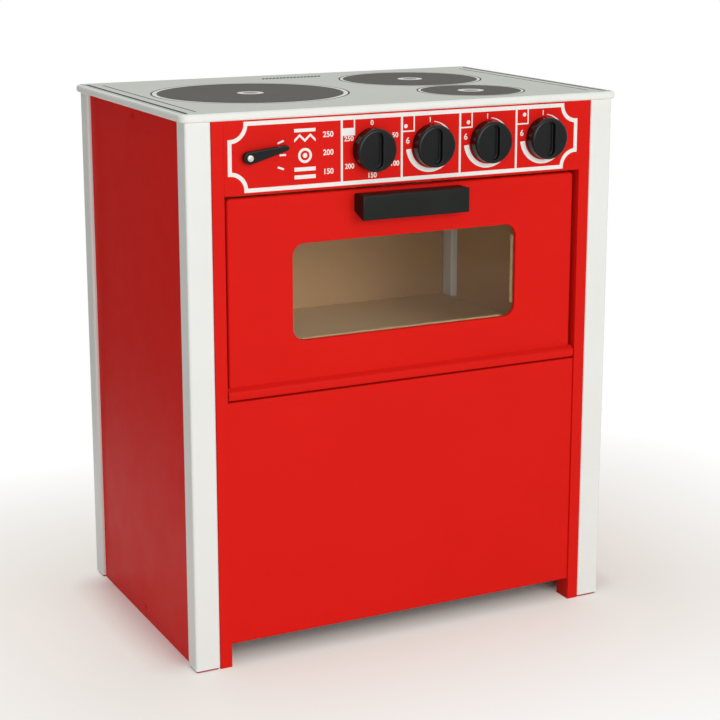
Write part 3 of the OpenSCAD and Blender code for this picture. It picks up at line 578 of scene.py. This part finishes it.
def make_grip():
    """The grip: a wooden bar, deeper in front, its underside sloping to the door."""
    half, front, low, top, rise, edge_r = 47.75, -12, 355.3, 375.5, 6.2, 1.3
    grip = block("door_grip", (-half, half), (front, DOOR_FACE), (low, top))
    plane_off(grip, (0, front, low), Vector((0, rise, front - DOOR_FACE)).normalized())
    round_edges(grip, edge_r, 4, lambda x, y, z: y < DOOR_FACE - NEAR)
    round_edges(grip, edge_r, 4, lambda x, y, z: abs(x) > half - edge_r - NEAR
                and y > front + edge_r - NEAR, "y")
    smooth(grip)
    mount(grip, "door", "black_wood", black_lacquer, "door_handle")


# ---- Knobs and lever ----

def make_knobs():
    """Moulded knobs: a domed rim, and a deep slot across the face for the fingers."""
    r, front, back, rim_r = 17, -11, -0.5, 2.3
    slot_half_w, slot_half_h, slot_deep = 4.5, 14, 4
    x0 = KNOB_X[1]
    first = rod("knob_1_cap", (x0, (front + back) / 2, DIAL_Z), r, back - front, "y", 96)
    round_edges(first, rim_r, 8, lambda x, y, z: y < front + NEAR)
    slot = block("finger_slot", (x0 - slot_half_w, x0 + slot_half_w),
                 (front - 1, front + slot_deep), (DIAL_Z - slot_half_h, DIAL_Z + slot_half_h))
    round_edges(slot, slot_half_w - NEAR, 12, along="y")
    round_edges(slot, 0.8, 3, lambda x, y, z: y > front + slot_deep - NEAR)
    cut(first, slot)
    round_edges(first, 0.45, 3, lambda x, y, z: y < front + TOUCH
                and abs(x - x0) < slot_half_w + NEAR and abs(z - DIAL_Z) < slot_half_h + 0.05)
    smooth(first, 35)
    made = {1: first}
    for n in (2, 3, 4):
        shift = Matrix.Translation(((KNOB_X[n] - x0) * MM, 0, 0))
        made[n] = copy_of(first, f"knob_{n}_cap", shift)
    for n, knob in made.items():
        mount(knob, f"knob_{n}_body", "black_plastic", black_abs, f"knob_{n}")


def make_lever():
    """The lever: a flat bar that tapers from its round hub to its tip."""
    off, thick, hub_r, tip_r, length, rest_turn = -2.5, 3.6, 5, 2.1, 31, -11
    head_r, head_t, shank = 2.65, 1.4, 19.05
    hub = rod("lever_bar", (LEVER_X, off - thick / 2, DIAL_Z), hub_r, thick, "y", 48)
    open_with(hub, "VERT", lambda x, y, z: x > LEVER_X + TOUCH)
    bpy.ops.transform.resize(value=(tip_r / hub_r, 1, tip_r / hub_r),
                             center_override=place(LEVER_X, 0, DIAL_Z))
    bpy.ops.transform.translate(value=(length * MM, 0, 0))
    bpy.ops.object.mode_set(mode="OBJECT")
    round_edges(hub, 0.9, 4, lambda x, y, z: y < off - thick + NEAR)
    smooth(hub, 35)
    pin_at = Matrix.Translation(place(LEVER_X, 0, DIAL_Z))
    raised = pin_at @ Matrix.Rotation(math.radians(rest_turn), 4, "Y") @ pin_at.inverted()
    lever = copy_of(hub, "lever_arm", raised)
    bpy.data.objects.remove(hub)
    mount(lever, "lever_body", "black_plastic", black_abs, "lever")
    head = rod("lever_pin_riveted", (LEVER_X, off - thick - head_t / 2, DIAL_Z), head_r,
               head_t, "y", 48)
    round_edges(head, 1.1, 6, lambda x, y, z: y < off - thick - head_t + NEAR)
    open_with(head, "FACE", lambda x, y, z: y > off - thick - TOUCH)
    bpy.ops.mesh.inset(thickness=1.15 * MM)
    bpy.ops.mesh.extrude_region_move(TRANSFORM_OT_translate={"value": (0, shank * MM, 0)})
    bpy.ops.object.mode_set(mode="OBJECT")
    smooth(head, 35)
    mount(head, "lever_body", "steel", nickel, "lever_pin")


# ---- Screws ----

def screw(name, length, sunk):
    """A cross-headed wood screw, its head's face at the origin and its point at
    +z. A sunk head is a cone, and the other kind is domed."""
    head_r, shank_r, tip_r = 3, 1.5, 0.375
    cone, point, ends = 1.5, 2.5, 4.5  # ends: what the shank leaves of the length
    cross_long, cross_wide, cross_deep = 3.6, 0.8, 0.8
    head_t = 0.3 if sunk else 1.3
    bpy.ops.object.select_all(action="DESELECT")
    bpy.ops.mesh.primitive_cylinder_add(vertices=32, radius=head_r * MM, depth=head_t * MM,
                                        location=(0, 0, (0.5 if sunk else -0.5) * head_t * MM))
    made = settled(name)
    lowest = 0 if sunk else -head_t
    if not sunk:
        round_edges(made, 1.0, 4, lambda x, y, z: z < lowest + NEAR)
    open_with(made, "FACE", lambda x, y, z: z > lowest + head_t - TOUCH)
    if sunk:
        bpy.ops.mesh.extrude_region_move(TRANSFORM_OT_translate={"value": (0, 0, cone * MM)})
        bpy.ops.transform.resize(value=(shank_r / head_r, shank_r / head_r, 1))
    else:
        bpy.ops.mesh.inset(thickness=(head_r - shank_r) * MM)
    for drawn in (length - ends, point):
        bpy.ops.mesh.extrude_region_move(TRANSFORM_OT_translate={"value": (0, 0, drawn * MM)})
    bpy.ops.transform.resize(value=(tip_r / shank_r, tip_r / shank_r, 1))
    bpy.ops.object.mode_set(mode="OBJECT")
    for wide, high in ((cross_long, cross_wide), (cross_wide, cross_long)):
        bpy.ops.object.select_all(action="DESELECT")
        bpy.ops.mesh.primitive_cube_add(size=1, location=(0, 0, lowest * MM),
                                        scale=(wide * MM, high * MM, 2 * cross_deep * MM))
        cut(made, settled("cross"))
    smooth(made, 35)
    return made


def drive(name, node, body, length, sunk, places, turn):
    """Drives copies of one screw at each place, all turned the same way, or with a
    turn of their own after the point."""
    model = screw("model", length, sunk)
    driven, driver_turn = [], 37  # degrees from one screw's cross to the next
    for n, spot in enumerate(places):
        way = spot[3] if len(spot) > 3 else turn
        spin = Matrix.Rotation(math.radians(driver_turn * n), 4, "Z")
        driven.append(copy_of(model, f"{name}_{n}",
                              Matrix.Translation(place(*spot[:3])) @ way @ spin))
    bpy.data.objects.remove(model)
    mount(joined(driven, name), body, "steel", zinc, node)


def painted_over(screws, paint_x):
    """The side screws went in before the paint: only their crosses are bare."""
    screws.data.materials.append(red_lacquer)
    for face in screws.data.polygons:
        if abs(face.center.x) > paint_x * MM:
            face.material_index = 1


def make_screws():
    """Every screw whose head shows, at its CAD node's place."""
    forward = Matrix.Rotation(math.radians(90), 4, "X")
    upward = Matrix.Identity(4)
    downward = Matrix.Rotation(math.radians(180), 4, "X")
    inward = {s: Matrix.Rotation(math.radians(-90 * s), 4, "Y") for s in SIDES.values()}
    posts = [(x, 253, z) for x in (-179.5, 179.5) for z in (25, 105, 180, 263.5, 333.5, 418.5)]
    rails = [(x, 253, z) for x in (-60, 60) for z in (39, 428.5)]
    drive("back_screws_zinc", "back_screws", "cabinet", 13, False, posts + rails, forward)
    ends = [(s * (SIDE_OUT - 0.1), BODY_D / 2, z, inward[s])
            for s in SIDES.values() for z in SIDE_SCREW_Z]
    drive("side_screws_zinc", "side_screws", "cabinet", 34, True, ends, None)
    painted_over(bpy.data.objects["side_screws_zinc"], SIDE_OUT - 0.8)
    top = [(s * 169, y, 426.5) for s in (-1, 1) for y in (38, 212)]
    top += [(x, 15, 426.5) for x in (-79.5, 79.5)]
    drive("top_screws_zinc", "top_screws", "cabinet", 16, False, top, upward)
    floor = [(s * 169, y, 226) for s in (-1, 1) for y in (38, 125, 212)]
    floor += [(x, 18.8, 226) for x in (-79.5, 79.5)]
    drive("floor_screws_zinc", "floor_screws", "cabinet", 16, True, floor, downward)
    drive("catch_screws_zinc", "catch_screws", "cabinet", 13, False,
          [(-27, 25, 378), (27, 25, 378)], upward)
    drive("grip_screws_zinc", "handle_screws", "door", 19, False,
          [(-32, DOOR_BACK, 368.5), (32, DOOR_BACK, 368.5)], forward)


# ---- Prints ----

FRAME_U, FRAME_LOW, FRAME_HIGH = 156, 383, 437.2
FRAME_LINE, FRAME_SCOOP = 3.2, 13.2


def arc(u, v, r, start, end, points=24):
    """Points on a circle from one angle to another, in degrees."""
    turns = [math.radians(start + (end - start) * k / (points - 1)) for k in range(points)]
    return [(u + r * math.cos(t), v + r * math.sin(t)) for t in turns]


def circle(u, v, r, facets=96):
    return arc(u, v, r, 0, 360 * (facets - 1) / facets, facets)


def bar(u0, v0, u1, v1):
    return [(u0, v0), (u1, v0), (u1, v1), (u0, v1)]


def slanted(u, v, length, width, degrees):
    """A short stroke about its middle."""
    c, s = math.cos(math.radians(degrees)), math.sin(math.radians(degrees))
    corners = bar(-length / 2, -width / 2, length / 2, width / 2)
    return [(u + a * c - b * s, v + a * s + b * c) for a, b in corners]


def laid(piece, on_top, level):
    """Lays a flat print on the hob, or stands it on the front of the panel."""
    if on_top:
        piece.matrix_world = Matrix.Translation((0, FRONT * MM, level * MM))
    else:
        stand = Matrix.Rotation(math.radians(90), 4, "X")
        piece.matrix_world = Matrix.Translation((0, (FRONT + level) * MM, 0)) @ stand
    return settled(piece.name)


def film(name, outlines, on_top, level=0.0, thick=FILM):
    """A film of ink inside closed outlines; an outline inside another is a hole."""
    flat = bpy.data.curves.new(name, "CURVE")
    flat.dimensions = "2D"
    flat.fill_mode = "BOTH"
    flat.extrude = thick * MM
    for outline in outlines:
        line = flat.splines.new("POLY")
        line.points.add(len(outline) - 1)
        for point, (u, v) in zip(line.points, outline):
            point.co = (u * MM, v * MM, 0, 1)
        line.use_cyclic_u = True
    piece = bpy.data.objects.new(name, flat)
    scene.collection.objects.link(piece)
    only(piece)
    bpy.ops.object.convert(target="MESH")
    return laid(welded(bpy.context.object), on_top, level)


def welded(piece):
    """Joins corners that lie together, and turns every face outward."""
    only(piece)
    bpy.ops.object.mode_set(mode="EDIT")
    bpy.ops.mesh.select_all(action="SELECT")
    bpy.ops.mesh.remove_doubles(threshold=0.00001)
    bpy.ops.mesh.normals_make_consistent(inside=False)
    bpy.ops.object.mode_set(mode="OBJECT")
    return piece


def number(text, u, v, size, on_top=False, level=0.0):
    """A printed number about its middle; size is the height of its figures."""
    bpy.ops.object.select_all(action="DESELECT")
    bpy.ops.object.text_add()
    label = bpy.context.object
    label.name = f"number_{text}_{round(u)}_{round(v)}".replace("-", "m")
    label.data.body = text
    label.data.size = size / 0.73 * MM
    label.data.align_x = "CENTER"
    label.data.align_y = "CENTER"
    label.data.extrude = FILM * MM
    label.data.offset = 0.12 * MM
    label.data.resolution_u = 6
    label.location = (u * MM, v * MM, 0)
    only(label)
    bpy.ops.object.convert(target="MESH")
    figure = bpy.context.object
    bpy.ops.object.transform_apply(location=True, rotation=True, scale=True)
    return laid(welded(figure), on_top, level)


def make_hob_print():
    """Four inks on the hob: a pale ground, discs and rings, lines and a border."""
    corner, left, right, front, rear = 4.6, -190.8, 190.8, -0.1, 251.8

    def ground(inset):
        r = corner - inset
        corners = ((right, rear, 0), (left, rear, 90), (left, front, 180), (right, front, 270))
        line = []
        for u, v, start in corners:
            mid_u = u - math.copysign(corner, u)
            mid_v = v - math.copysign(corner, v)
            line += arc(mid_u, mid_v, r, start, start + 90, 8)
        return line

    low = BOARD_TOP
    mount(film("hob_print_ground", [ground(0)], True, low, FILM / 2),
          "cabinet", "hob_paint", grey_ink)
    mount(film("hob_print_border", [ground(0.5), ground(1.3)], True, low),
          "cabinet", "hob_paint", border_ink)
    eye_r, pupil_r, ring_in, ring_out = 11, 6.5, 0.8, 0.6
    plates = ((-85.5, 121, 77, 81.5), (88, 167, 59.8, 63), (87.5, 58, 42, 44.8))
    discs, halos, rings, eyes, pupils = [], [], [], [], []
    for n, (u, v, r, ring_r) in enumerate(plates):
        disc, eye, pupil = circle(u, v, r), circle(u, v, eye_r), circle(u, v, pupil_r)
        inner, outer = circle(u, v, ring_r - ring_in), circle(u, v, ring_r + ring_out)
        discs.append(film(f"disc_{n}", [disc, eye], True, low))
        halos.append(film(f"halo_{n}", [inner, disc], True, low))
        rings.append(film(f"ring_{n}", [outer, inner], True, low))
        eyes.append(film(f"eye_{n}", [eye, pupil], True, low))
        pupils.append(film(f"pupil_{n}", [pupil], True, low))
    mount(joined(discs, "hob_print_plates"), "cabinet", "hob_paint", disc_ink)
    mount(joined(halos + eyes, "hob_print_plate_rings"), "cabinet", "hob_paint", white_ink)
    mount(joined(pupils, "hob_print_plate_centres"), "cabinet", "hob_paint", border_ink)
    lines = []
    for s in (-1, 1):
        thick = [(s * 187.6, 4), (s * 184.4, 7), (s * 184.4, 242), (s * 187.6, 245)]
        thin = [(s * 176.1, 13.5), (s * 174.5, 15), (s * 174.5, 231), (s * 176.1, 232.5)]
        lines += [thick, thin]
    strokes, first_u, pitch = 17, -29, 3.4
    for k in range(strokes):
        lines.append(slanted(first_u + pitch * k, 224, 10, 2.1, 58))
    drawn = rings + [film(f"line_{n}", [line], True, low) for n, line in enumerate(lines)]
    mount(joined(drawn, "hob_print_lines"), "cabinet", "hob_paint", line_ink)


def notched_frame(inset):
    """The frame's outline, its corners scooped out about those of its middle line."""
    side, low, high = FRAME_U - inset, FRAME_LOW + inset, FRAME_HIGH - inset
    middle = FRAME_LINE / 2
    reach = FRAME_SCOOP - middle + inset
    outline = []
    for su, sv in ((-1, 1), (1, 1), (1, -1), (-1, -1)):
        cu, cv = su * (FRAME_U - middle), FRAME_HIGH - middle if sv > 0 else FRAME_LOW + middle
        corner = [(cu - su * reach, high if sv > 0 else low)]
        for k in range(13):
            turn = math.radians(7.5 * k)
            u, v = cu - su * reach * math.cos(turn), cv - sv * reach * math.sin(turn)
            corner.append((min(max(u, -side), side), min(max(v, low), high)))
        corner.append((su * side, cv - sv * reach))
        corner = list(dict.fromkeys(corner))
        outline += corner[::-1] if su * sv < 0 else corner
    return outline


def swoosh(u, v):
    """A band about a knob that gets thinner as it goes round."""
    outer, inner, points = [], [], 65
    for k in range(points):
        t = k / (points - 1)
        turn = math.radians(186 + 256 * t)
        for edge, r in ((outer, 22.5 - 3.3 * t), (inner, 18.0 + 0.6 * t)):
            edge.append((u + r * math.cos(turn), v + r * math.sin(turn)))
    return outer + inner[::-1]


def make_panel_print():
    """White print on the control panel: frame, scales, numbers and plain signs."""
    low, high = FRAME_LOW + FRAME_LINE, FRAME_HIGH - FRAME_LINE
    parts = [film("panel_frame", [notched_frame(0), notched_frame(FRAME_LINE)], False)]
    for n, u in enumerate((-60.6, -8, 44.6, 97.2)):
        half, thin, sign_u, sign_v = 0.9, 1.1, u + 10.4, 422.8
        parts.append(film(f"divider_{n}", [bar(u - half, low, u + half, high)], False))
        corner = [(u + half, sign_v), (sign_u, sign_v), (sign_u, high), (sign_u + thin, high),
                  (sign_u + thin, sign_v - thin), (u + half, sign_v - thin)]
        parts.append(film(f"sign_{n}", [corner], False))
    parts.append(film("sign_fill", [bar(-59.7, 422.8, -50.2, 427.6)], False))
    for n, (du, v) in {2: (3.5, 426.3), 3: (7.6, 426.3), 4: (7.6, 429.7)}.items():
        parts.append(film(f"sign_dot_{n}", [circle(KNOB_X[n] - 26.3 + du, v, 1.6, 24)], False))
        parts.append(film(f"scale_{n}", [swoosh(KNOB_X[n], DIAL_Z)], False))
        parts.append(number("1", KNOB_X[n] - 1, 430.2, 4))
        parts.append(number("6", KNOB_X[n] - 21, 414.6, 5))
    dial = {"0": (0, 20.6), "50": (20.4, 9.8), "100": (20.0, -12.6), "150": (0, -20.7),
            "200": (-19.6, -12.4), "250": (-20.2, 9.2)}
    for text, (du, dv) in dial.items():
        parts.append(number(text, KNOB_X[1] + du, DIAL_Z + dv, 4))
    for text, v in (("250", 423.7), ("200", 409.7), ("150", 394.9)):
        parts.append(number(text, -72.2, v, 4.4))
    tick_r = 29.4
    for degrees in (20, 0, -20):
        turn = math.radians(degrees)
        spot = LEVER_X + tick_r * math.cos(turn), DIAL_Z + tick_r * math.sin(turn)
        parts.append(film(f"tick_{degrees + 20}", [slanted(*spot, 5.4, 1.5, degrees)], False))
    parts += heating_signs(-92)
    mount(joined(parts, "control_panel_print"), "cabinet", "red_paint", white_ink)


def heating_signs(u):
    """Plain signs one above another: grill, ring, and heat above and below."""
    zigzag = [(u - 9 + 4.5 * k, 425.4 if k % 2 else 421.2) for k in range(5)]
    below = [(a, b - 2.2) for a, b in zigzag]
    signs = {"grill_bar": [bar(u - 9, 426.8, u + 9, 429.4)], "grill": [zigzag + below[::-1]],
             "ring": [circle(u, 408.6, 5.8, 48), circle(u, 408.6, 3.8, 48)],
             "ring_dot": [circle(u, 408.6, 1.9, 32)],
             "upper_heat": [bar(u - 9, 396.6, u + 9, 399.6)],
             "lower_heat": [bar(u - 9, 390.6, u + 9, 393.6)]}
    return [film("sign_" + name, outlines, False) for name, outlines in signs.items()]


# ---- CAD nodes whose shape stays ----

def dress_nodes():
    """Finishes for the nodes that show as they are."""
    finishes = {
        red_glide: ["foot_glides"],
        hardboard: ["back_panel"],
        fibre_board: ["pane_beads"],
        lit_oven_floor_board: ["oven_floor"],
        pine_across: ["top_stretcher", "base_stretcher", "rear_rail_top", "rear_rail_bottom",
                      "catch_block"],
        pine_deep: ["floor_battens", "top_battens"],
        pine_upright: ["lower_cleats", "control_cleats"],
        beech: ["side_dowels", "jamb_dowels", "rail_dowels"],
        white_abs: ["catch_body"],
        ferrite: ["catch_magnet"],
        acrylic: ["window_pane"],
        zinc: ["bead_pins", "catch_plate", "plate_screws", "pivot_pins", "lever_clip",
               "lever_spacer"] + [f"spindle_{n}" for n in KNOB_X]
              + [f"spindle_clip_{n}" for n in KNOB_X],
    }
    for material, nodes in finishes.items():
        for name in nodes:
            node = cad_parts[name]
            if not node.data.materials:
                node.data.materials.append(material)
            for n in range(len(node.data.materials)):
                node.data.materials[n] = material


# ---- Studio ----

ROOM_LIGHT = 0.34
# The fade starts 3 to 4 cm inside the stove's front and back, so the floor under the front already
# glows: painted light over the shade there.
FOOTPRINT, FADE_REACH = (0.19, 0.09, 0), 0.35
LAMPS = (("key_light", (0.35, -2.8, 1.1), (0, 0, 0.25), (1.5, 1.3), 32.5),
         ("fill_light", (-1.0, -2.5, 0.8), (0, 0, 0.25), (1.2, 1.2), 10),
         ("top_light", (-0.3, 0.3, 2.2), (0, 0, 0.3), (1.8, 1.2), 12))


def only_seen(material):
    """1 for rays that see the background directly, in gloss or through the pane."""
    path = add_node(material, "ShaderNodeLightPath").outputs
    seen = add_node(material, "ShaderNodeMath",
                    {0: path["Is Camera Ray"], 1: path["Is Glossy Ray"]}, operation="MAXIMUM")
    return add_node(material, "ShaderNodeMath",
                    {0: seen.outputs[0], 1: path["Is Transmission Ray"]},
                    operation="MAXIMUM").outputs[0]


def make_floor():
    """A pale matt floor that fades to the white backdrop by the distance from the stove.
    Under the stove's front it is already partly faded, a painted light that lifts the
    shade there, and close to the stove the glow is warm white, a painted warm light."""
    bpy.ops.object.select_all(action="DESELECT")
    bpy.ops.mesh.primitive_plane_add(size=60)
    floor = settled("floor")
    pale, shader = new_material("pale_floor", Base_Color=linear("#faf8f4"), Roughness=0.5,
                                Specular_IOR_Level=0.2)
    out = add_node(pale, "ShaderNodeVectorMath", {0: object_point(pale)}, operation="ABSOLUTE")
    past = add_node(pale, "ShaderNodeVectorMath", {0: out.outputs[0], 1: FOOTPRINT},
                    operation="SUBTRACT")
    outside = add_node(pale, "ShaderNodeVectorMath", {0: past.outputs[0], 1: (0, 0, 0)},
                       operation="MAXIMUM")
    away = add_node(pale, "ShaderNodeVectorMath", {0: outside.outputs[0]}, operation="LENGTH")
    far = spread(pale, away.outputs["Value"], 0.0, 1.0, end=FADE_REACH)
    fade = add_node(pale, "ShaderNodeValToRGB", {"Fac": far})
    glow_colour = add_node(pale, "ShaderNodeValToRGB", {"Fac": far})
    fade.color_ramp.elements[0].color = (0, 0, 0, 1)
    fade.color_ramp.elements[1].color = (1, 1, 1, 1)
    # About half glow just past the box: painted light that lifts the shade under the stove's
    # front.
    shade_lift_stop = fade.color_ramp.elements.new(0.1)
    shade_lift_stop.color = (0.55, 0.55, 0.55, 1)
    # Warm white close to the stove, pure white far off: painted warm light on the floor by the
    # stove.
    glow_colour.color_ramp.elements[0].color = linear("#f3eee6")
    glow_colour.color_ramp.elements[1].color = (1, 1, 1, 1)
    seen = add_node(pale, "ShaderNodeMath", {0: fade.outputs["Color"], 1: only_seen(pale)},
                    operation="MULTIPLY")
    white = add_node(pale, "ShaderNodeEmission", {"Color": glow_colour.outputs["Color"], "Strength": 1.0})
    blend = add_node(pale, "ShaderNodeMixShader",
                     {0: seen.outputs[0], 1: shader.outputs["BSDF"], 2: white.outputs["Emission"]})
    join(pale, blend.outputs["Shader"], pale.node_tree.nodes["Material Output"].inputs["Surface"])
    floor.data.materials.append(pale)


def make_reflection_cards():
    """Dark cards that only gloss sees, one beside the stove and one lying in front:
    painted darkness in the reflections, which keeps the white room from veiling the
    red and black paint. No other ray sees them, so they block no light and cast no shadow."""
    reflection_dimmer, shader = new_material("dark_card_for_gloss", Roughness=1.0, Specular_IOR_Level=0.0)
    mottle = noise(reflection_dimmer, object_point(reflection_dimmer), 2)
    finish(reflection_dimmer, shader, Base_Color=two_tone(reflection_dimmer, mottle, "#1a1a1a", "#2a2a2a"))
    for name, where, lean, wide, high in (
            ("dark_card_beside", (-0.33, 0.55, 0.44), math.pi / 2, 0.72, 1.7),
            ("dark_card_in_front", (0.9, -1.9, 0.003), 0, 3.6, 3.0)):
        bpy.ops.object.select_all(action="DESELECT")
        bpy.ops.mesh.primitive_plane_add(size=1, location=where, rotation=(0, lean, 0),
                                         scale=(wide, high, 1))
        flag = settled(name)
        flag.data.materials.append(reflection_dimmer)
        for ray in ("camera", "diffuse", "transmission", "shadow", "volume_scatter"):
            setattr(flag, "visible_" + ray, False)


def make_backdrop():
    """A white room: white where it is seen, and dimmer as a light."""
    world = bpy.data.worlds.new("studio")
    scene.world = world
    world.use_nodes = True
    background = world.node_tree.nodes["Background"]
    finish(world, background, Strength=spread(world, only_seen(world), ROOM_LIGHT, 1.0))
    background.inputs["Color"].default_value = (1, 1, 1, 1)


def soft_box(name, where, aim, size, watts):
    """A wide lamp that faces its aim."""
    lamp = bpy.data.objects.new(name, bpy.data.lights.new(name, "AREA"))
    scene.collection.objects.link(lamp)
    lamp.location = where
    lamp.rotation_euler = (Vector(aim) - Vector(where)).to_track_quat("-Z", "Y").to_euler()
    lamp.data.shape = "RECTANGLE"
    lamp.data.size, lamp.data.size_y = size
    lamp.data.energy = watts


make_posts()
make_side_panels()
make_front_boards()
make_hob_board()
make_door()
make_rail()
make_grip()
make_knobs()
make_lever()
make_screws()
make_hob_print()
make_panel_print()
dress_nodes()
make_floor()
make_reflection_cards()
make_backdrop()
for lamp in LAMPS:
    soft_box(*lamp)
scene.view_settings.view_transform = "Standard"
